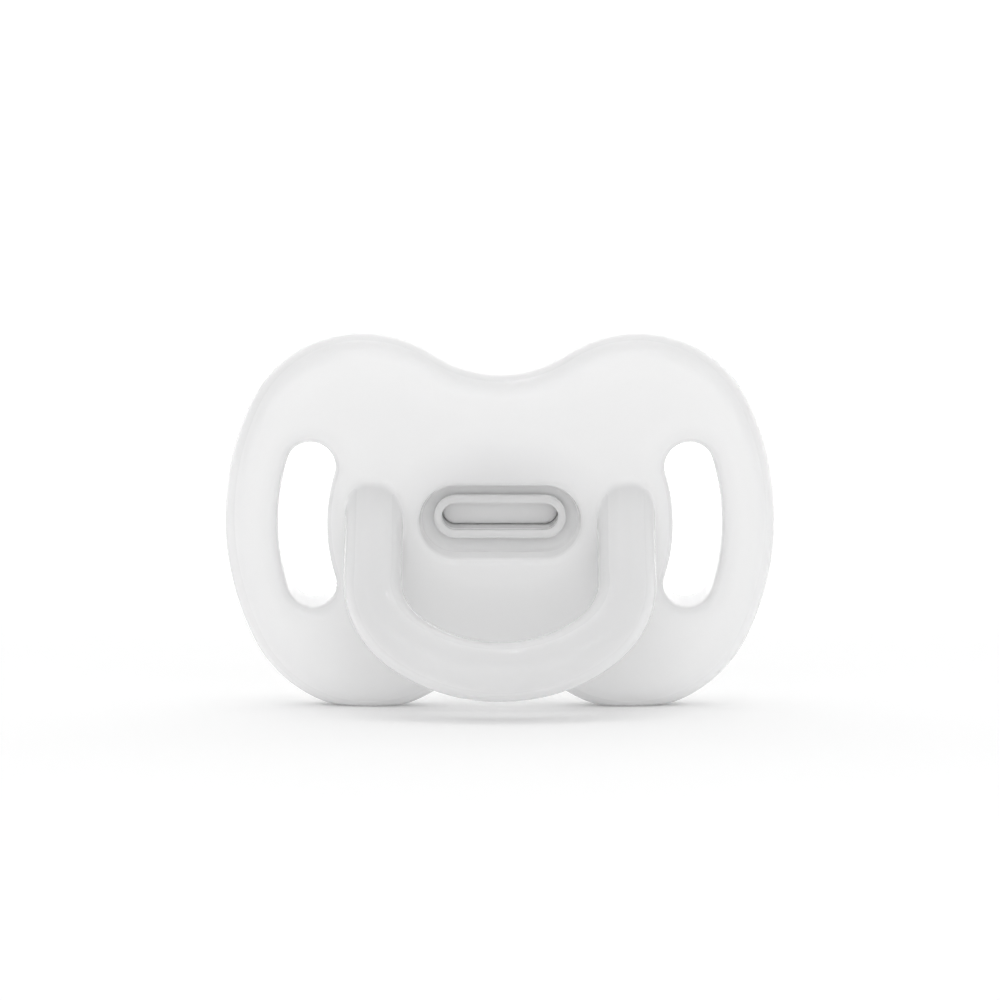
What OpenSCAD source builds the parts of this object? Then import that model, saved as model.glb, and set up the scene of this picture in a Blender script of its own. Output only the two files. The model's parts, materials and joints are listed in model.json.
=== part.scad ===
// Soft silicone pacifier: a butterfly shield with two air vents, a U-shaped handle moulded to its front,
// and a hollow flat-necked teat that is held in the shield by a front bead, a back flange and a plug.
// Everything is modelled about the shield's centre (X right, Y towards the mouth, Z up) and then stood on
// the shield's two lower lobes, leaning forward. The handle bends at its two roots and the teat at its neck,
// so each of them meets its fixed root in a round knuckle about the line that it bends on.

/* [Shield] */
// Width across the wings
shield_w = 55.2; // [50:0.1:60]
// Height over the lobes
shield_h = 38.3; // [36:0.1:42]
// Thickness of the plate
shield_t = 6.8; // [6.4:0.1:7.4]
// Distance of each lobe's crest from the middle
lobe_x = 13.5; // [12.5:0.1:14.5]
// Half height of the waist, at the notches
waist_z = 15.1; // [14.5:0.1:16]
// Rounding of the rim
edge_r = 2.4; // [1.5:0.1:3]
// Radius that the plate is bent to, around the mouth
face_r = 150; // [120:5:300]

/* [Vents] */
// Radius of the vents' centre line about the shield's middle
vent_r = 19.7; // [19.2:0.1:20.2]
// Width of a vent
vent_w = 4.9; // [4.6:0.1:5.4]
// Half angle between the centres of a vent's round ends
vent_span = 17.5; // [14:0.5:20]
// Rounding of a vent's edges
vent_edge = 1.1; // [0.5:0.1:1.4]

/* [Socket for the teat] */
// Width of the front recess
recess_w = 16.3; // [15.5:0.1:17]
// Height of the front recess
recess_h = 7.5; // [7:0.1:8]
// Height of the recess's middle above the shield's
recess_z = 0.6; // [-0.5:0.1:0.8]
// Depth of the front recess
recess_d = 2.8; // [2.4:0.1:3.4]
// Rounding of the recess's edge
recess_edge = 0.6; // [0.3:0.1:0.8]
// Depth of the pocket behind the shield for the teat's flange
pocket_d = 1.4; // [1.2:0.1:1.8]

/* [Teat] */
// Height of the teat's axis above the shield's middle
teat_z = 0.8; // [-0.5:0.1:1]
// Length of the teat behind the shield
teat_l = 25.3; // [23:0.1:28]
// Thickness of the bulb
bulb_t = 9.6; // [9:0.1:10.5]
// Width of the bulb
bulb_w = 16.4; // [15:0.1:17]
// Wall of the neck and bulb
teat_wall = 1.4; // [1:0.1:1.6]
// Width of the bead that shows in the front recess
bead_w = 13.2; // [13:0.1:13.6]
// Height of the bead
bead_h = 4.4; // [4.3:0.1:4.8]
// How far the bead stands up from the recess's floor
bead_t = 0.8; // [0.6:0.1:1.2]
// Distance from the bead's front to the plug's face
plug_depth = 2.8; // [2.4:0.1:3]

/* [Handle] */
// Distance between the centre lines of the two legs
handle_c = 25; // [24:0.1:26]
// Width of the bar, in the plane of the U
bar_w = 5.7; // [5.5:0.1:6.4]
// Thickness of the bar
bar_t = 5.2; // [5:0.1:5.6]
// Rounding of the bar
bar_r = 2.4; // [2:0.1:2.5]
// Straight length of a leg, from the shield's face to the bend
leg_l = 7.3; // [6.6:0.1:8]
// Depth of the bend, from the legs' ends to the bar's lowest point
bend_depth = 10.3; // [9.8:0.1:11]
// Angle between the handle and the shield, hanging down
handle_angle = 43.5; // [40:0.5:48]

/* [Stance] */
// How far the standing shield leans forward
lean = 8.5; // [0:0.5:12]
// Height that the two flat feet take off the lobes
foot_cut = 0.4; // [0.2:0.05:0.6]

/* [Hidden] */
$fn = 48;

silicone = [0.93, 0.93, 0.94];
soft_silicone = [0.90, 0.91, 0.92];
clearance = 0.03;       // between pieces that stay together
flex_gap = 0.2;         // between the two sides of a place that bends
over = 1;               // how far a cutter runs past what it cuts

// The rim's outline is four wing arcs about the middle, four lobe arcs inside them and two notch arcs.
wing_r = shield_w / 2;
lobe_r = (pow(wing_r, 2) - pow(lobe_x, 2) - pow(shield_h / 2, 2)) / (2 * wing_r - shield_h);
lobe_z = shield_h / 2 - lobe_r;
notch_r = (pow(lobe_x, 2) + pow(waist_z - lobe_z, 2) - pow(lobe_r, 2)) / (2 * (lobe_r - waist_z + lobe_z));
notch_z = waist_z + notch_r;
wing_end = atan2(lobe_z, lobe_x);
lobe_end = atan2(notch_z - lobe_z, -lobe_x);
wing_steps = 9;
lobe_steps = 14;
notch_steps = 6;
round_steps = 6;

// The teat's neck bends about a line across it, and its collar ends in a cup round that line.
back_y = shield_t / 2;
slot_w = bead_w - 0.6;
slot_h = bead_h - 0.5;
bore_w = 11.6;
bore_h = 2.7;
flange_w = 17;
flange_h = 9.6;
floor_y = recess_d - shield_t / 2;
plug_y = floor_y - bead_t + plug_depth;
plug_l = 2.8;
rib_w = 12.3;
rib_h = 3.4;
rib_l = 1;
teat_hinge_y = back_y + 4.8;
teat_knuckle_r = 3;
collar_end_y = teat_hinge_y - 1.5;
neck_end_y = back_y + 11;
tip_y = back_y + teat_l;

// Half widths, half thicknesses and rises of the teat's middle, at distances behind the shield given as shares
// of the teat's length.
bulb_a = bulb_w / 2;
bulb_b = bulb_t / 2;
rise = 1.1;             // how far the bulb's middle lies above the neck's, towards the palate
teat_stations = [
    [0.00, 8.20, 4.40, 0], [0.04, 7.50, 3.80, 0], [0.11, 6.95, 3.30, 0], [0.20, 6.60, 2.95, 0],
    [0.34, 6.45, 2.70, 0], [0.44, 6.80, 2.90, 0.1 * rise], [0.54, bulb_a - 0.7, 3.70, 0.4 * rise],
    [0.64, bulb_a - 0.15, bulb_b - 0.35, 0.8 * rise], [0.75, bulb_a, bulb_b, rise],
    [0.85, bulb_a - 0.75, bulb_b - 0.45, rise], [0.93, bulb_a - 2.4, bulb_b - 1.4, rise],
    [0.98, bulb_a - 4.7, bulb_b - 2.8, rise]];
section_power = 2.5;    // 2 is an ellipse, and more is squarer
section_points = 48;

// The handle's plane starts at the shield's face, and the handle bends about a line across its two legs.
leg_x = handle_c / 2;
face_y = sag(leg_x) - shield_t / 2;
root_z = 1.05;
hinge_s = 5;
corner_turn = 50;       // how far each corner of the bend turns before the flatter bottom takes over
knuckle_r = bar_t / 2;
bend_d = (leg_x - bend_depth) / (cos(corner_turn) + sin(corner_turn) - 1);
corner_r = leg_x - bend_d * cos(corner_turn);
bottom_r = corner_r + bend_d;
anchor_depth = 2.2;     // how deep a root goes into the shield
lift_limit = 60;
fold_limit = 35;
limit_room = 3;         // degrees that the root stays clear of the leg past its limits

// Standing: the lobes' lowest line is at z = 0, and the middle of the whole length is at y = 0.
rim_flat = shield_t / 2 - edge_r;
lobe_low = (sag(lobe_x) - rim_flat) * sin(lean) - (shield_h / 2 - edge_r) * cos(lean) - edge_r;
stand_z = -lobe_low - foot_cut;
bar_angle = handle_angle - lean;
bar_reach = (bar_w / 2 - bar_r) * sin(bar_angle) + (bar_t / 2 - bar_r) * cos(bar_angle) + bar_r;
bottom_s = leg_l + bend_depth;
front_y = (face_y - bottom_s * sin(handle_angle)) * cos(lean)
        - (root_z - bottom_s * cos(handle_angle)) * sin(lean) - bar_reach;
stand_y = -(tip_y * cos(lean) - (teat_z + rise) * sin(lean) + front_y) / 2;

// How far the bent plate curves towards the mouth, at a distance from the middle.
function sag(x) = face_r - sqrt(face_r * face_r - x * x);

function arc(cx, cz, r, from, to, steps, first = 0) =
    [for (i = [first:steps]) let (a = from + (to - from) * i / steps) [cx + r * cos(a), cz + r * sin(a)]];

// One quarter of the rim's outline moved inwards by d, from the wing's tip to the notch.
function rim_quarter(d) = concat(
    arc(0, 0, wing_r - d, 0, wing_end, wing_steps),
    arc(lobe_x, lobe_z, lobe_r - d, wing_end, lobe_end, lobe_steps, 1),
    arc(0, notch_z, notch_r + d, lobe_end + 180, 270, notch_steps, 1));

// The whole outline, mirrored from one quarter: point k stands above or below point n - k.
function rim_outline(d) =
    let (q = rim_quarter(d), m = len(q) - 1)
    [for (k = [0:4 * m - 1]) let (
        side = floor(k / m),
        p = side == 0 ? q[k] : side == 1 ? q[2 * m - k] : side == 2 ? q[k - 2 * m] : q[4 * m - k])
        [side == 1 || side == 2 ? -p.x : p.x, side > 1 ? -p.y : p.y]];

// An outline laid on the bent plate at depth y.
function bent(outline, y) = [for (p = outline) [p.x, y + sag(p.x), p.y]];
function flat_at(outline, y) = [for (p = outline) [p.x, y, p.y]];

function stadium(w, h) =
    let (c = (w - h) / 2)
    concat(arc(c, 0, h / 2, -90, 90, 16), arc(-c, 0, h / 2, 90, 270, 16));

function vent_outline(d) =
    let (h = vent_w / 2 + d, cx = vent_r * cos(vent_span), cz = vent_r * sin(vent_span))
    concat(
        arc(0, 0, vent_r + h, -vent_span, vent_span, 12),
        arc(cx, cz, h, vent_span, vent_span + 180, 12, 1),
        arc(0, 0, vent_r - h, vent_span, -vent_span, 12, 1),
        arc(cx, -cz, h, 180 - vent_span, 360 - vent_span, 12, 1));

function power(v, e) = sign(v) * pow(abs(v), e);
function section(a, b) =
    [for (k = [0:section_points - 1]) let (t = 360 * k / section_points)
        [a * power(cos(t), 2 / section_power), b * power(sin(t), 2 / section_power)]];

// Half width, half thickness and rise of the teat at distance y from the shield's middle, through smooth stations.
function hermite(p0, p1, p2, p3, t) =
    p1 + 0.5 * t * (p2 - p0 + t * (2 * p0 - 5 * p1 + 4 * p2 - p3 + t * (3 * (p1 - p2) + p3 - p0)));
function teat_half(y) =
    let (s = (y - back_y) / teat_l, n = len(teat_stations),
        i = max([for (k = [0:n - 2]) teat_stations[k][0] <= s ? k : 0]),
        a = teat_stations[max(i - 1, 0)], b = teat_stations[i],
        c = teat_stations[i + 1], d = teat_stations[min(i + 2, n - 1)],
        h = hermite(a, b, c, d, min(1, max(0, (s - b[0]) / (c[0] - b[0])))))
    [h[1], h[2], h[3]];
function teat_ring(y, thinner = 0) =
    let (h = teat_half(y)) raised(section(h[0] - thinner, h[1] - thinner), y, h[2]);
function raised(outline, y, up) = [for (p = outline) [p.x, y, p.y + up]];

// The bar's outline, from corner to corner, with x across the leg and y through its thickness.
bar_outline = [for (corner = [[1, 1], [-1, 1], [-1, -1], [1, -1]], k = [0:5])
    let (a = atan2(corner.y, corner.x) - 45 + 18 * k)
    [corner.x * (bar_w / 2 - bar_r) + bar_r * cos(a), corner.y * (bar_t / 2 - bar_r) + bar_r * sin(a)]];

// The U's centre line from s0 on one leg to s0 on the other: place across, distance along the legs and the
// direction that the bar's outer side faces. Two tight corners join the legs to the flatter bottom.
function bend_arc(cx, cs, r, from, to, steps) =
    [for (i = [0:steps]) let (a = from + (to - from) * i / steps) [cx + r * cos(a), cs + r * sin(a), a]];
function bar_path(s0) = concat(
    [[leg_x, s0, 0]],
    bend_arc(leg_x - corner_r, leg_l, corner_r, 0, corner_turn, 8),
    bend_arc(0, leg_l + bend_depth - bottom_r, bottom_r, corner_turn + 5, 175 - corner_turn, 13),
    bend_arc(corner_r - leg_x, leg_l, corner_r, 180 - corner_turn, 180, 8),
    [[-leg_x, s0, 180]]);

// A closed solid through rings of the same number of points, the front ring first.
module skin(rings) {
    n = len(rings[0]);
    m = len(rings);
    sides = [for (j = [0:m - 2], k = [0:n - 1], half = [0, 1]) let (l = (k + 1) % n)
        half == 0 ? [j * n + k, j * n + l, (j + 1) * n + l]
                  : [j * n + k, (j + 1) * n + l, (j + 1) * n + k]];
    front = [[for (k = [n - 1:-1:0]) k]];
    back = [[for (k = [0:n - 1]) (m - 1) * n + k]];
    polyhedron(points = [for (r = rings) each r], faces = concat(sides, front, back));
}

module stadium_prism(w, h, y0, y1) {
    skin([flat_at(stadium(w, h), y0), flat_at(stadium(w, h), y1)]);
}

// Stands a piece that is modelled about the shield's centre on the lobes.
module stand() {
    translate([0, stand_y, stand_z]) rotate([lean, 0, 0]) children();
}

// Stands a piece that is modelled about the teat's axis.
module stand_teat() {
    stand() translate([0, 0, teat_z]) children();
}

// The bent plate with its rounded rim. Its two faces are strips from the upper rim to the lower.
module plate() {
    half = [for (i = [0:round_steps]) let (a = 90 - 90 * i / round_steps)
        [edge_r * (1 - cos(a)), -rim_flat - edge_r * sin(a)]];
    profile = concat(half, [for (i = [round_steps:-1:0]) [half[i][0], -half[i][1]]]);
    rings = [for (p = profile) bent(rim_outline(p[0]), p[1])];
    n = len(rings[0]);
    m = len(rings);
    last = (m - 1) * n;
    sides = [for (j = [0:m - 2], k = [0:n - 1], half = [0, 1]) let (l = (k + 1) % n)
        half == 0 ? [j * n + k, j * n + l, (j + 1) * n + l]
                  : [j * n + k, (j + 1) * n + l, (j + 1) * n + k]];
    tips = [[0, n - 1, 1], [n / 2, n / 2 - 1, n / 2 + 1],
            [last, last + 1, last + n - 1], [last + n / 2, last + n / 2 + 1, last + n / 2 - 1]];
    strips = [for (k = [1:n / 2 - 2], back = [0, 1])
        back == 0 ? [n - k, n - k - 1, k + 1, k]
                  : [last + k, last + k + 1, last + n - k - 1, last + n - k]];
    polyhedron(points = [for (r = rings) each r], faces = concat(sides, tips, strips));
}

// What a vent takes out of the plate, flared at both faces.
module vent_cutter() {
    flare = [for (i = [0:4]) let (a = 90 - 22.5 * i)
        [vent_edge * (1 - cos(a)), -shield_t / 2 + vent_edge * (1 - sin(a))]];
    skin(concat(
        [flat_at(vent_outline(vent_edge), -shield_t / 2 - over)],
        [for (f = flare) bent(vent_outline(f[0]), f[1])],
        [for (i = [4:-1:0]) bent(vent_outline(flare[i][0]), -flare[i][1])],
        [flat_at(vent_outline(vent_edge), shield_t / 2 + sag(wing_r) + over)]));
}

// What the front recess takes out of the plate: a rounded edge, steep walls and a rounded floor.
module recess_cutter() {
    front = -shield_t / 2;
    edge = [for (i = [0:4]) let (a = 90 - 22.5 * i)
        [-2 * recess_edge * (1 - cos(a)), front + recess_edge * (1 - sin(a))]];
    wall = 0.7;
    foot = 0.5;
    skin(concat(
        [flat_at(stadium(recess_w, recess_h), front - over)],
        [for (e = edge) flat_at(stadium(recess_w + e[0] , recess_h + e[0]), e[1])],
        [for (i = [0:4]) let (a = 22.5 * i)
            flat_at(stadium(recess_w - 2 * recess_edge - wall - 2 * foot * (1 - cos(a)),
                            recess_h - 2 * recess_edge - wall - 2 * foot * (1 - cos(a))),
                    floor_y - foot + foot * sin(a))]));
}

// The bar's rounded cross-section: x across the leg, y through its thickness.
module bar_section(grow = 0) {
    w = bar_w + 2 * grow;
    t = bar_t + 2 * grow;
    r = bar_r + grow;
    square([w - 2 * r, t], center = true);
    square([w, t - 2 * r], center = true);
    for (i = [-1, 1], j = [-1, 1]) translate([i * (w / 2 - r), j * (t / 2 - r)]) circle(r);
}

// Places children drawn with x across, y from the handle's back to its front and -z along the legs, at the
// point where a leg's centre line leaves the shield's face.
module handle_frame() {
    translate([0, face_y, root_z]) rotate([-handle_angle, 0, 0]) rotate([0, 0, 180]) children();
}

// The line across the legs that the handle bends about.
module handle_hinge_line() {
    handle_frame() translate([0, 0, -hinge_s]) rotate([0, 90, 0]) children();
}

// A leg's bar from s0 to s1 along its centre line: side is -1 on the left, seen from the front, and 1 on the right.
module leg(side, s0, s1, grow = 0) {
    handle_frame() translate([-side * leg_x, 0, -s1]) linear_extrude(s1 - s0) bar_section(grow);
}

// The space that the leg sweeps past the knuckle, from folded flat to lifted.
module leg_sweep() {
    reach = 14;
    half = knuckle_r + flex_gap;
    steps = 8;
    handle_hinge_line()
        for (i = [0:steps]) let (a = -fold_limit - limit_room
            + (lift_limit + fold_limit + 2 * limit_room) * i / steps)
            rotate([0, 0, a]) translate([0, -half, -handle_c]) cube([reach, 2 * half, 2 * handle_c]);
}

module shield() {
    color(silicone) difference() {
        stand() difference() {
            plate();
            vent_cutter();
            mirror([1, 0, 0]) vent_cutter();
            translate([0, 0, recess_z]) recess_cutter();
            translate([0, 0, teat_z]) {
                stadium_prism(slot_w, slot_h, floor_y - over, back_y);
                stadium_prism(flange_w, flange_h, back_y - pocket_d, back_y + over);
            }
            for (side = [-1, 1]) intersection() {
                leg(side, -8, hinge_s, clearance);
                translate([0, face_y + anchor_depth / 2 - over, 0])
                    cube([shield_w, anchor_depth + 2 * over, shield_h], center = true);
            }
        }
        translate([0, 0, -shield_h]) cube([2 * shield_w, 2 * shield_w, 2 * shield_h], center = true);
    }
}

// A root's anchor in the shield and its stub up to the cup that the leg's knuckle turns in.
module handle_root(side) {
    color(silicone) stand() difference() {
        leg(side, -8, hinge_s);
        translate([0, face_y + anchor_depth - clearance + shield_t, 0])
            cube([shield_w, 2 * shield_t, shield_h], center = true);
        handle_hinge_line() cylinder(r = knuckle_r + flex_gap, h = 2 * handle_c, center = true);
        leg_sweep();
    }
}

// The bar of the whole U as one swept skin, from s0 on each leg's centre line round the bend.
module bar(s0) {
    handle_frame() skin([for (p = bar_path(s0)) [for (q = bar_outline)
        [p.x + q.x * cos(p.z), q.y, -p.y - q.x * sin(p.z)]]]);
}

// The free part of the U, whose legs start with a round knuckle about the line that they bend on.
module handle_grip() {
    color(silicone) stand() intersection() {
        bar(hinge_s - knuckle_r - over);
        union() {
            handle_hinge_line() cylinder(r = knuckle_r, h = 2 * handle_c, center = true);
            handle_frame() translate([0, 0, -hinge_s - handle_c])
                cube([2 * handle_c, 2 * bar_t, 2 * handle_c], center = true);
        }
    }
}

// The teat's fixed end: bead, sleeve, flange and the flared start of the neck, ending in a cup.
module teat_collar() {
    color(soft_silicone) stand_teat() difference() {
        union() {
            stadium_prism(bead_w, bead_h, floor_y - bead_t, floor_y - clearance);
            stadium_prism(slot_w - 2 * clearance, slot_h - 2 * clearance, floor_y - 0.2, back_y - 0.2);
            stadium_prism(flange_w - 2 * clearance, flange_h - 2 * clearance,
                          back_y - pocket_d + clearance, back_y);
            skin([for (i = [0:8]) teat_ring(back_y - 0.1 + (collar_end_y - back_y + 0.1) * i / 8)]);
        }
        stadium_prism(bore_w, bore_h, floor_y - over - bead_t, teat_hinge_y);
        stadium_prism(rib_w, rib_h, plug_y + (plug_l - rib_l) / 2, plug_y + (plug_l + rib_l) / 2);
        translate([0, teat_hinge_y, 0]) rotate([0, 90, 0])
            cylinder(r = teat_knuckle_r + flex_gap, h = 2 * flange_w, center = true);
    }
}

// The plug that fills the collar's bore, with a rib that snaps into the collar's groove.
module teat_plug() {
    fit = 2 * clearance;
    color(silicone) stand_teat() {
        stadium_prism(bore_w - fit, bore_h - fit, plug_y, plug_y + plug_l);
        stadium_prism(rib_w - fit, rib_h - fit,
                      plug_y + (plug_l - rib_l) / 2 + clearance, plug_y + (plug_l + rib_l) / 2 - clearance);
    }
}

// The neck that bends: a round knuckle in the collar's cup, then the flat hollow neck.
module teat_neck() {
    start = teat_hinge_y - teat_knuckle_r;
    color(soft_silicone) stand_teat() difference() {
        intersection() {
            skin([for (i = [0:14]) teat_ring(start + (neck_end_y - start) * i / 14)]);
            union() {
                translate([0, teat_hinge_y, 0]) rotate([0, 90, 0])
                    cylinder(r = teat_knuckle_r, h = 2 * flange_w, center = true);
                translate([-flange_w, teat_hinge_y, -flange_h]) cube([2 * flange_w, teat_l, 2 * flange_h]);
            }
        }
        skin([for (i = [0:8]) teat_ring(start - over + (neck_end_y - start + 2 * over) * i / 8, teat_wall)]);
    }
}

// The hollow bulb, closed at its round tip.
module teat_bulb() {
    steps = 22;
    inner_end = tip_y - teat_wall;
    color(soft_silicone) stand_teat() difference() {
        skin([for (i = [0:steps]) bulb_ring(neck_end_y, tip_y, i / steps, 0)]);
        skin(concat([teat_ring(neck_end_y - over, teat_wall)],
                    [for (i = [0:steps]) bulb_ring(neck_end_y, inner_end, i / steps, teat_wall)]));
    }
}

// Rings of the bulb crowd towards its tip, where the section closes like an ellipse.
function bulb_ring(y0, y1, t, thinner) =
    let (cap = 4.2, y = y0 + (y1 - y0) * sin(90 * t), left = max(y1 - y, 0.004),
        h = teat_half(min(y, tip_y - 0.02 * teat_l)),
        close = left < cap ? sqrt(1 - pow(1 - left / cap, 2)) : 1,
        whole = teat_half(tip_y - cap),
        a = left < cap ? whole[0] * close : h[0], b = left < cap ? whole[1] * close : h[1])
    raised(section(max(a - thinner, 0.02), max(b - thinner, 0.02)), y, left < cap ? whole[2] : h[2]);

shield();
handle_root(-1);  // handle_root_left
handle_root(1);  // handle_root_right
handle_grip();
teat_collar();
teat_plug();
teat_neck();
teat_bulb();
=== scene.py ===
"""A milky silicone pacifier on a white sweep, seen from the front.

The three mouldings are made as smooth distance fields in millimetres about the shield's centre (X right,
Y towards the mouth, Z up), turned into meshes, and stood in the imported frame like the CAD.
"""

import json
import math

import bpy
import numpy as np
import openvdb
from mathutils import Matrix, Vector


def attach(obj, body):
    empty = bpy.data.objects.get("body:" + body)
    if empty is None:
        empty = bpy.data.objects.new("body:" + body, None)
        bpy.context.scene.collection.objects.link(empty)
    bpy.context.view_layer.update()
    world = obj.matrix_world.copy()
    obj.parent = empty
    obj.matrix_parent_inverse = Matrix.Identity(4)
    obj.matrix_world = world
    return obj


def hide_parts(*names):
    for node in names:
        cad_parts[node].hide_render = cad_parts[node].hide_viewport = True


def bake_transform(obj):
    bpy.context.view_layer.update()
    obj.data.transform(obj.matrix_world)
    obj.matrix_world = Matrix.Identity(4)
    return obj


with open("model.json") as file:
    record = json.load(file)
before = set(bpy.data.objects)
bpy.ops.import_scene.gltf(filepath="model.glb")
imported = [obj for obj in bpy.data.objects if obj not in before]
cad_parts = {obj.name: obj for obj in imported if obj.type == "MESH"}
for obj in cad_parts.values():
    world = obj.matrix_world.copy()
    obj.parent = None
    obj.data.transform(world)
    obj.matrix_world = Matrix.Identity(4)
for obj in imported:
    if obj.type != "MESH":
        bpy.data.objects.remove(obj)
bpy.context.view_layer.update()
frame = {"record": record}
record = frame["record"]
joint_at = {j["name"]: np.array(j["pos_m"]) * 1000 for j in record["behaviour"]["joints"]}

# ---------- sizes in millimetres, the same as the CAD's unless said ----------

# Shield plate
LEAN = math.radians(8.5)
THICKNESS = 6.8
WING_R = 27.6
LOBE_X = 13.5
CREST_Z = 19.15
WAIST_Z = 15.1
RIM_ROUND = 2.4
BEND_R = 150.0
FEET_ROUND = 0.35
VENT_R, VENT_W, VENT_SPAN, VENT_ROUND = 19.7, 4.9, math.radians(17.5), 1.1
RECESS_W, RECESS_H, RECESS_D, RECESS_Z = 16.3, 7.5, 2.8, 0.6
RECESS_SLOPE, LIP_ROUND, FLOOR_ROUND = 0.12, 0.6, 0.5

# Slot and pocket, both tighter than the CAD's: bead and flange hide them, and wider ones show dark seams
SLOT_ROOM, POCKET_D = 0.5, 0.4

# Handle
LEG_X, LEG_L, ROOT_Z, HANDLE_ANGLE = 12.5, 7.3, 1.05, math.radians(43.5)
BEND_DEPTH, CORNER_TURN = 10.3, math.radians(50)
BAR_W, BAR_T, BAR_ROUND = 5.7, 5.2, 2.4
BAR_INSIDE, BAR_END_ROUND = 4.0, 0.5
ROOT_FILLET = 0.25

# Teat and plug
TEAT_Z = 0.8
BEAD_W, BEAD_H, BEAD_T, BEAD_ROUND = 13.2, 4.4, 0.8, 0.25
BORE_W, BORE_H = 11.6, 2.7
SLEEVE_W, SLEEVE_H = 12.6, 3.9
FLANGE_W, FLANGE_H, FLANGE_T = 17.0, 9.6, 1.4
TEAT_L, TEAT_WALL, TIP_CAP, TEAT_HINGE = 25.3, 1.4, 4.2, 4.8
SECTION_POWER = 2.5
NECK_OVERLAP, NECK_FILLET = 0.2, 0.3
BORE_END, HOLLOW_START, HOLLOW_FILLET, HOLLOW_EDGE = 3, 2, 0.5, 0.2
PLUG_DEPTH, PLUG_L, PLUG_ROUND = 2.8, 2.8, 0.3

# Room between mouldings: beside the sleeve and flange, beside the plug, and at faces that would touch
SIDE_GAP, PLUG_GAP, FACE_GAP = 0.06, 0.1, 0.02

FRONT = -THICKNESS / 2
BACK = THICKNESS / 2
FLOOR_Y = FRONT + RECESS_D
TIP = BACK + TEAT_L

# Distance behind the shield as a share, half width, half thickness and rise of the teat's middle
TEAT = np.array([
    (0.00, 8.20, 4.40, 0.00), (0.04, 7.50, 3.80, 0.00), (0.11, 6.95, 3.30, 0.00), (0.20, 6.60, 2.95, 0.00),
    (0.34, 6.45, 2.70, 0.00), (0.44, 6.80, 2.90, 0.11), (0.54, 7.50, 3.70, 0.44), (0.64, 8.05, 4.45, 0.88),
    (0.75, 8.20, 4.80, 1.10), (0.84, 7.55, 4.40, 1.10), (1.00, 7.55, 4.40, 1.10)])

# The box that each mesh is cut from, by its two corners, and the step of its grid
SHIELD_BOX = (-28.5, -19.5, -20.2), (28.5, 7.2, 20.2), 0.3
TEAT_BOX = (-9.4, -1.4, -6.0), (9.4, TIP + 0.6, 7.2), 0.2
PLUG_BOX = (-6.6, 1.0, -2.0), (6.6, 6.0, 2.0), 0.12
NEWTON_STEPS = 4

# ---------- colours and light ----------

# Painted shade and painted reflection: grey drawn on the free handle, along the rim and round the vents, and
# a painted shadow of the teat on the face in front of it, for the greyer look of thin silicone, of the teat
# showing through and of what the real one reflects
PLATE_WHITE, PAINTED_SHADE_GREY = (0.975, 0.975, 0.978), (0.64, 0.64, 0.643)
BAR_PAINTED_SHADE, RIM_PAINTED_SHADE, VENT_PAINTED_SHADE, TEAT_PAINTED_SHADOW = 0.55, 0.55, 0.3, 0.6
# Widths of the rim and vent painted shade, and size and height of the teat's painted shadow, in mm
RIM_BAND, VENT_BAND = 4, 2.5
TEAT_SHADOW_W, TEAT_SHADOW_H, TEAT_SHADOW_Z = 10.5, 8, 2.5
TEAT_WHITE, PLUG_WHITE = (0.985, 0.985, 0.987), (0.99, 0.99, 0.992)

SILICONE_IOR = 1.41
COAT_ROUGHNESS = 0.02
CLOUD_SCALE, CLOUD_DARKNESS = 90, 0.95
BLOOM_SCALE, BLOOM_BELOW, BLOOM_ABOVE = 450, 0.04, 0.05
GRAIN_SCALE, GRAIN_STRENGTH, GRAIN_HEIGHT = 2600, 0.12, 0.00003

# Glow of the world and the sweep, where 1 is the white of the backdrop
FRONT_GLOW, BACK_GLOW, TOP_SHADE, SIDE_SHADE = 0.66, 1.2, 0.6, 0.7
FLOOR_GLOW, BACKDROP_GLOW = 0.11, 0.5
GLOW_FROM, GLOW_TO = 0.04, 0.4
SWEEP_COLOUR, SWEEP_ROUGHNESS = (0.92, 0.92, 0.92), 0.9

# The sweep and the camera, in metres
SWEEP_NEAR, SWEEP_FAR, SWEEP_TURN, SWEEP_SIDE, SWEEP_TOP = -1.6, 0.35, 0.25, 1.2, 0.9
CAMERA_DISTANCE, CAMERA_ELEVATION, VIEW_WIDTH, SENSOR_MM = 0.38, math.radians(3), 0.1, 36
AIM_UP_MM = 2.2

# Area lights: place and size in metres, and watts
LIGHT_AIM = (0, 0, 0.02)
LIGHTS = (
    ("strip_over", (0, -0.03, 0.46), (0.5, 0.004), 0.15),
    ("strip_high", (0, -0.13, 0.44), (0.3, 0.003), 0.10),
    ("strip_front", (0, -0.36, 0.32), (0.5, 0.004), 0.16),
    ("front_fill", (0, -0.55, 0.16), (0.5, 0.4), 0.3),
)

# The shield's centre in the frame, found from the teat's hinge, which lies on the shield's axis
TILT = np.array([[1, 0, 0], [0, math.cos(LEAN), -math.sin(LEAN)], [0, math.sin(LEAN), math.cos(LEAN)]])
CENTRE = joint_at["teat_flex"] - TILT @ np.array([0, BACK + TEAT_HINGE, TEAT_Z])


def to_frame(points_mm):
    """Points about the shield's centre, in mm, as points of the frame, in metres."""
    return (points_mm @ TILT.T + CENTRE) / 1000


# ---------- distance fields, negative inside ----------

def join(a, b, r):
    """Union with a fillet of radius r in the corner between a and b."""
    return np.maximum(r, np.minimum(a, b)) - np.hypot(np.maximum(r - a, 0), np.maximum(r - b, 0))


def meet(a, b, r):
    """Intersection with its edge rounded to radius r."""
    return np.minimum(-r, np.maximum(a, b)) + np.hypot(np.maximum(r + a, 0), np.maximum(r + b, 0))


def stadium(x, z, width, height):
    return np.hypot(np.maximum(np.abs(x) - (width - height) / 2, 0), z) - height / 2


def slab(y, start, end):
    return np.abs(y - (start + end) / 2) - (end - start) / 2


def sag(x):
    """How far the bent plate curves towards the mouth at a distance from its middle."""
    return BEND_R - np.sqrt(BEND_R**2 - x * x)


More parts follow.
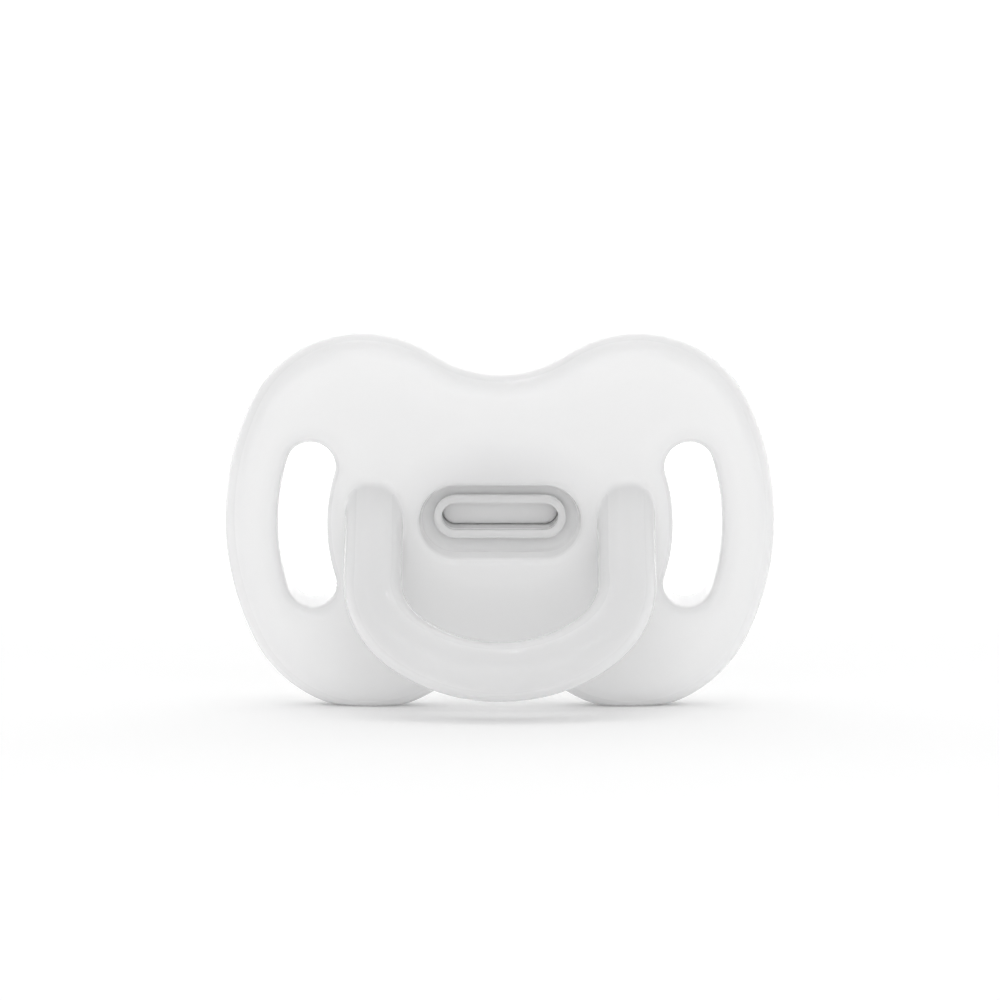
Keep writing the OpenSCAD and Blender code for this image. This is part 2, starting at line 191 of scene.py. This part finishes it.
def outline(x, z):
    """The butterfly: wing arcs about the middle, lobe arcs inside them and concave notch arcs between."""
    x, z = np.abs(x), np.abs(z)
    lobe_r = (WING_R**2 - LOBE_X**2 - CREST_Z**2) / (2 * WING_R - 2 * CREST_Z)
    lobe_z = CREST_Z - lobe_r
    notch_r = (LOBE_X**2 + (WAIST_Z - lobe_z)**2 - lobe_r**2) / (2 * (lobe_r - WAIST_Z + lobe_z))
    notch_z = WAIST_Z + notch_r
    wing_end = math.atan2(lobe_z, LOBE_X)
    lobe_end = math.atan2(notch_z - lobe_z, -LOBE_X)
    turn = np.arctan2(z - lobe_z, x - LOBE_X) % (2 * math.pi)
    on_lobe = (turn >= wing_end) & (turn <= lobe_end)
    on_wing = np.arctan2(z, x) < wing_end
    lobe = np.hypot(x - LOBE_X, z - lobe_z) - lobe_r
    notch = notch_r - np.hypot(x, z - notch_z)
    return np.where(on_wing, np.hypot(x, z) - WING_R, np.where(on_lobe, lobe, notch))


def vents(x, z):
    x, z = np.abs(x), np.abs(z)
    band = np.abs(np.hypot(x, z) - VENT_R)
    end = np.hypot(x - VENT_R * math.cos(VENT_SPAN), z - VENT_R * math.sin(VENT_SPAN))
    return np.where(np.arctan2(z, x) < VENT_SPAN, band, end) - VENT_W / 2


def bar(x, y, z):
    """The handle's U, from inside the shield: straight legs, tighter corners and a flatter bottom."""
    down_y, down_z = -math.sin(HANDLE_ANGLE), -math.cos(HANDLE_ANGLE)
    py, pz = y - (sag(LEG_X) + FRONT), z - ROOT_Z
    along = py * down_y + pz * down_z
    past_leg = np.maximum(along - LEG_L, 0)
    flatter = (LEG_X - BEND_DEPTH) / (math.cos(CORNER_TURN) + math.sin(CORNER_TURN) - 1)
    corner_r = LEG_X - flatter * math.cos(CORNER_TURN)
    bottom_r = corner_r + flatter
    corner = np.hypot(np.maximum(np.abs(x) - LEG_X + corner_r, -corner_r), past_leg) - corner_r
    bottom = np.hypot(x, past_leg - BEND_DEPTH + bottom_r) - bottom_r
    on_bottom = np.arctan2(past_leg - BEND_DEPTH + bottom_r, np.abs(x)) > CORNER_TURN
    across = np.where((along > LEG_L) & on_bottom, bottom, np.where(along > LEG_L, corner, np.abs(x) - LEG_X))
    off = py * down_z - pz * down_y
    side, face = np.abs(across) - BAR_W / 2 + BAR_ROUND, np.abs(off) - BAR_T / 2 + BAR_ROUND
    rounding = np.hypot(np.maximum(side, 0), np.maximum(face, 0))
    section = rounding + np.minimum(np.maximum(side, face), 0) - BAR_ROUND
    return meet(section, -along - BAR_INSIDE, BAR_END_ROUND)


def fade(value, start, end):
    """1 up to the start and 0 from the end."""
    return np.clip((end - value) / (end - start), 0, 1)


def shield_painted_shade(x, y, z):
    """How much painted shade the silicone takes: grey on the handle, along the rim, round the vents and a
    painted shadow of the teat.
    """
    bent = y - sag(x)
    off_plate = fade(bent, FRONT - 0.6, FRONT)
    on_face = fade(bent, FRONT + 0.1, FRONT + 0.6)
    # Painted shade: grey band along the rim, darkest at the edge
    rim = RIM_PAINTED_SHADE * fade(-outline(x, z), 0, RIM_BAND)**2
    # Painted shade: grey halo round the vents
    vent = VENT_PAINTED_SHADE * fade(vents(x, z), 0, VENT_BAND)**2
    # Painted shadow of the teat behind, on the plate's face
    teat = TEAT_PAINTED_SHADOW * on_face * fade(np.hypot(x / TEAT_SHADOW_W, (z - TEAT_SHADOW_Z) / TEAT_SHADOW_H), 0, 1)
    # Painted shade: the free handle goes grey all over; the plate takes the rim, vent and teat painted shade
    return off_plate * BAR_PAINTED_SHADE + (1 - off_plate) * (np.maximum(rim, vent) + teat)


def shield_moulding(x, y, z):
    """The plate with the handle grown from its face, its vents, front recess, slot, back pocket and feet."""
    bent = y - sag(x)
    body = meet(outline(x, z), np.abs(bent) - THICKNESS / 2, RIM_ROUND)
    body = join(body, bar(x, y, z), ROOT_FILLET)
    body = meet(body, -vents(x, z), VENT_ROUND)
    recess_side = stadium(x, z - RECESS_Z, RECESS_W, RECESS_H) + RECESS_SLOPE * (y - FRONT)
    body = meet(body, -meet(recess_side, y - FLOOR_Y, FLOOR_ROUND), LIP_ROUND)
    up = z - TEAT_Z
    body = np.maximum(body, -stadium(x, up, BORE_W + SLOT_ROOM, BORE_H + SLOT_ROOM))
    body = np.maximum(body, -np.maximum(stadium(x, up, FLANGE_W, FLANGE_H), BACK - POCKET_D - y))
    feet = -(CENTRE[2] + y * math.sin(LEAN) + z * math.cos(LEAN))
    return meet(body, feet, FEET_ROUND)


def smooth_through(t, at, values):
    """Cubic curve through the values, flat beyond the ends."""
    slope = np.gradient(values, at)
    i = np.clip(np.searchsorted(at, t) - 1, 0, len(at) - 2)
    width = at[i + 1] - at[i]
    u = np.clip((t - at[i]) / width, 0, 1)
    return ((1 + 2 * u) * (1 - u)**2 * values[i] + u * (1 - u)**2 * width * slope[i]
            + u * u * (3 - 2 * u) * values[i + 1] + u * u * (u - 1) * width * slope[i + 1])


def teat_outside(x, y, z, thinner=0.0):
    """The flared, flat neck and the fuller bulb, lofted through the teat's stations."""
    share = (y - BACK) / TEAT_L
    half_w, half_t, rise = (smooth_through(share, TEAT[:, 0], TEAT[:, k]) for k in (1, 2, 3))
    half_w, half_t = half_w - thinner, half_t - thinner
    p = SECTION_POWER
    ring = ((np.abs(x) / half_w)**p + (np.abs(z - rise) / half_t)**p)**(1 / p)
    beyond = np.maximum(y - (TIP - TIP_CAP), 0) / (TIP_CAP - thinner)
    return (np.hypot(ring, beyond) - 1) * half_t


def teat_moulding(x, y, z):
    """Bead, sleeve, flange, neck and bulb, hollow from the bore to the tip."""
    z = z - TEAT_Z
    bead = meet(stadium(x, z, BEAD_W, BEAD_H), slab(y, FLOOR_Y - BEAD_T, FLOOR_Y) + FACE_GAP, BEAD_ROUND)
    sleeve = np.maximum(stadium(x, z, SLEEVE_W - SIDE_GAP, SLEEVE_H - SIDE_GAP), slab(y, FLOOR_Y, BACK))
    flange = np.maximum(stadium(x, z, FLANGE_W - SIDE_GAP, FLANGE_H - SIDE_GAP),
                        slab(y, BACK - FLANGE_T, BACK) + FACE_GAP)
    outside = np.maximum(teat_outside(x, y, z), BACK - NECK_OVERLAP - y)
    body = np.minimum(np.minimum(bead, sleeve), join(flange, outside, NECK_FILLET))
    bore = np.maximum(stadium(x, z, BORE_W, BORE_H), y - BACK - BORE_END)
    hollow = np.maximum(teat_outside(x, y, z, TEAT_WALL), BACK + HOLLOW_START - y)
    return meet(body, -join(bore, hollow, HOLLOW_FILLET), HOLLOW_EDGE)


def plug_moulding(x, y, z):
    face = FLOOR_Y - BEAD_T + PLUG_DEPTH
    around = stadium(x, z - TEAT_Z, BORE_W - PLUG_GAP, BORE_H - PLUG_GAP)
    return meet(around, slab(y, face, face + PLUG_L), PLUG_ROUND)


# ---------- meshes ----------

def grid_field(field, low, high, step):
    """The field at every grid point of a box."""
    axes = [np.arange(a, b, step) for a, b in zip(low, high)]
    x, y, z = np.meshgrid(*axes, indexing="ij", sparse=True)
    return np.clip(field(x, y, z), -3 * step, 3 * step).astype(np.float32)


def gradient(field, points):
    h = 0.01
    slopes = []
    for axis in range(3):
        ahead, behind = points.copy(), points.copy()
        ahead[:, axis] += h
        behind[:, axis] -= h
        slopes.append((field(*ahead.T) - field(*behind.T)) / (2 * h))
    return np.stack(slopes, 1)


def moulding(name, field, low, high, step, shade=None):
    """A smooth mesh of the field's surface, its points moved exactly on to it, which may keep a painted
    shade.
    """
    grid = openvdb.FloatGrid(background=float(3 * step))
    grid.copyFromArray(np.ascontiguousarray(grid_field(field, low, high, step)), tolerance=0.0)
    points, quads = grid.convertToQuads()
    points = np.array(points, float) * step + np.array(low)
    for _ in range(NEWTON_STEPS):
        slope = gradient(field, points)
        size = np.maximum((slope**2).sum(1), 0.05)
        move = slope * (field(*points.T) / size)[:, None]
        length = np.linalg.norm(move, axis=1, keepdims=True)
        points -= move * np.minimum(1, 0.5 * step / np.maximum(length, 1e-9))
    mesh = bpy.data.meshes.new(name)
    mesh.from_pydata(to_frame(points).tolist(), [], np.array(quads)[:, ::-1].tolist())
    mesh.update()
    mesh.shade_smooth()
    if shade:
        mesh.attributes.new("shade", "FLOAT", "POINT").data.foreach_set("value", shade(*points.T))
    return in_scene(bpy.data.objects.new(name, mesh))


def in_scene(obj):
    bpy.context.scene.collection.objects.link(obj)
    return obj


# ---------- materials ----------

class Tree:
    """A material's or world's node tree, with a short way to make its nodes."""

    def __init__(self, owner):
        owner.use_nodes = True
        self.nodes, self.links = owner.node_tree.nodes, owner.node_tree.links

    def fill(self, node, inputs):
        """Link an output to each input, or set the input to a number or a colour."""
        for name, value in inputs.items():
            socket = node.inputs[name]
            if isinstance(value, bpy.types.NodeSocket):
                self.links.new(value, socket)
            else:
                socket.default_value = (*value, 1) if socket.type == "RGBA" else value

    def add(self, kind, inputs, **settings):
        """The outputs of a new node."""
        node = self.nodes.new(kind)
        for name, value in settings.items():
            setattr(node, name, value)
        self.fill(node, inputs)
        return node.outputs

    def maths(self, operation, *values):
        return self.add("ShaderNodeMath", dict(enumerate(values)), operation=operation)["Value"]

    def mix(self, a, b, factor):
        inputs = {"A": a, "B": b, "Factor": factor}
        return self.add("ShaderNodeMix", inputs, data_type="RGBA", clamp_factor=True)["Result"]

    def scaled(self, value, inputs, **settings):
        return self.add("ShaderNodeMapRange", {"Value": value, **inputs}, **settings)["Result"]

    def place(self, kind):
        return self.add("ShaderNodeTexCoord", {})[kind]

    def parts(self, kind):
        """The X, Y and Z of a texture coordinate."""
        return self.add("ShaderNodeSeparateXYZ", {"Vector": self.place(kind)})


def silicone(name, colour, roughness, depth_mm, clear, gloss=0.0, grey=None):
    """Milky silicone: light goes in, scatters some millimetres and comes out; a fine bloom dulls the gloss.

    With a grey, the colour goes over to it by the mesh's painted shade.
    """
    material = bpy.data.materials.new(name)
    tree = Tree(material)
    place = tree.place("Object")

    def noise(scale, detail):
        return tree.add("ShaderNodeTexNoise", {"Vector": place, "Scale": scale, "Detail": detail})["Fac"]

    def cloudier(c):
        return tuple(CLOUD_DARKNESS * part for part in c)

    plain, cloudy = colour, cloudier(colour)
    if grey:
        # Painted shade from the mesh sets how far the colour goes grey
        shade = tree.add("ShaderNodeAttribute", {}, attribute_name="shade")["Fac"]
        plain, cloudy = tree.mix(plain, grey, shade), tree.mix(cloudy, cloudier(grey), shade)
    bloom = {"To Min": roughness - BLOOM_BELOW, "To Max": roughness + BLOOM_ABOVE}
    grain = {"Height": noise(GRAIN_SCALE, 2), "Strength": GRAIN_STRENGTH, "Distance": GRAIN_HEIGHT}
    tree.fill(tree.nodes["Principled BSDF"], {
        "Base Color": tree.mix(plain, cloudy, noise(CLOUD_SCALE, 2)),
        "Roughness": tree.scaled(noise(BLOOM_SCALE, 3), bloom),
        "Normal": tree.add("ShaderNodeBump", grain)["Normal"],
        "IOR": SILICONE_IOR,
        "Coat Weight": gloss,
        "Coat IOR": SILICONE_IOR,
        "Coat Roughness": COAT_ROUGHNESS,
        "Subsurface Weight": 1.0,
        "Subsurface Radius": (1.0, 1.0, 1.0),
        "Subsurface Scale": depth_mm / 1000,
        "Transmission Weight": clear,
    })
    return material


def sweep_paint():
    """Matt white that glows a little on the floor and more on the backdrop, like lit paper."""
    material = bpy.data.materials.new("white_sweep")
    tree = Tree(material)
    glow = {"From Min": GLOW_FROM, "From Max": GLOW_TO, "To Min": FLOOR_GLOW, "To Max": BACKDROP_GLOW}
    tree.fill(tree.nodes["Principled BSDF"], {
        "Base Color": SWEEP_COLOUR,
        "Roughness": SWEEP_ROUGHNESS,
        "Emission Color": (1, 1, 1),
        "Emission Strength": tree.scaled(tree.parts("Object")["Y"], glow, interpolation_type="SMOOTHSTEP"),
    })
    return material


def build_pieces():
    shield = moulding("shield_and_handle", shield_moulding, *SHIELD_BOX, shield_painted_shade)
    # The shield's silicone goes grey by its painted shade
    shield.data.materials.append(silicone("shield_silicone", PLATE_WHITE, 0.42, 4.0, 0.08, 1.0, PAINTED_SHADE_GREY))
    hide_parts("shield", "handle_root_left", "handle_root_right", "handle_grip")
    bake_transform(shield)

    teat = moulding("teat", teat_moulding, *TEAT_BOX)
    teat.data.materials.append(silicone("teat_silicone", TEAT_WHITE, 0.2, 1.5, 0.1))
    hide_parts("teat_collar", "teat_neck", "teat_bulb")
    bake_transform(teat)

    plug = moulding("teat_plug", plug_moulding, *PLUG_BOX)
    plug.data.materials.append(silicone("plug_silicone", PLUG_WHITE, 0.2, 1.0, 0.0))
    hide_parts("teat_plug")
    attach(plug, "shield")


# ---------- stage ----------

def build_sweep():
    """A floor that curves up into the backdrop."""
    profile = [(SWEEP_NEAR, 0.0), (SWEEP_FAR, 0.0)]
    profile += [(SWEEP_FAR + SWEEP_TURN * math.sin(a), SWEEP_TURN - SWEEP_TURN * math.cos(a))
                for a in np.radians(np.arange(7.5, 90.1, 7.5))]
    profile.append((SWEEP_FAR + SWEEP_TURN, SWEEP_TOP))
    verts = [(x, y, z) for x in (-SWEEP_SIDE, SWEEP_SIDE) for y, z in profile]
    n = len(profile)
    mesh = bpy.data.meshes.new("sweep")
    mesh.from_pydata(verts, [], [(i, i + 1, n + i + 1, n + i) for i in range(n - 1)])
    mesh.shade_smooth()
    sweep = in_scene(bpy.data.objects.new("sweep", mesh))
    sweep.data.materials.append(sweep_paint())


def build_world():
    """A glowing dome, brighter behind the object and darker overhead and to the sides."""
    world = bpy.data.worlds.new("studio")
    bpy.context.scene.world = world
    tree = Tree(world)
    x, y, z = tree.parts("Generated")
    behind = tree.maths("MULTIPLY_ADD", z, -TOP_SHADE, y)
    behind = tree.maths("MULTIPLY_ADD", tree.maths("ABSOLUTE", x), -SIDE_SHADE, behind)
    glow = {"From Min": -1, "From Max": 1, "To Min": FRONT_GLOW, "To Max": BACK_GLOW}
    tree.fill(tree.nodes["Background"], {
        "Color": (1, 1, 1),
        "Strength": tree.scaled(behind, glow, interpolation_type="SMOOTHSTEP"),
    })


def build_lights():
    for name, place, size, watts in LIGHTS:
        data = bpy.data.lights.new(name, "AREA")
        data.shape = "RECTANGLE"
        data.size, data.size_y = size
        data.energy = watts
        light = in_scene(bpy.data.objects.new(name, data))
        light.location = place
        light.rotation_euler = (Vector(LIGHT_AIM) - Vector(place)).to_track_quat("-Z", "Y").to_euler()


def build_camera():
    data = bpy.data.cameras.new("camera")
    camera = in_scene(bpy.data.objects.new("camera", data))
    aim = (CENTRE + np.array([0, 0, AIM_UP_MM])) / 1000
    camera.location = (0, aim[1] - CAMERA_DISTANCE * math.cos(CAMERA_ELEVATION),
                       aim[2] + CAMERA_DISTANCE * math.sin(CAMERA_ELEVATION))
    camera.rotation_euler = (math.pi / 2 - CAMERA_ELEVATION, 0, 0)
    data.sensor_width = SENSOR_MM
    data.lens = SENSOR_MM * CAMERA_DISTANCE / VIEW_WIDTH
    data.clip_start, data.clip_end = 0.01, 10
    bpy.context.scene.camera = camera


build_pieces()
build_sweep()
build_world()
build_lights()
build_camera()
bpy.context.scene.view_settings.view_transform = "Standard"
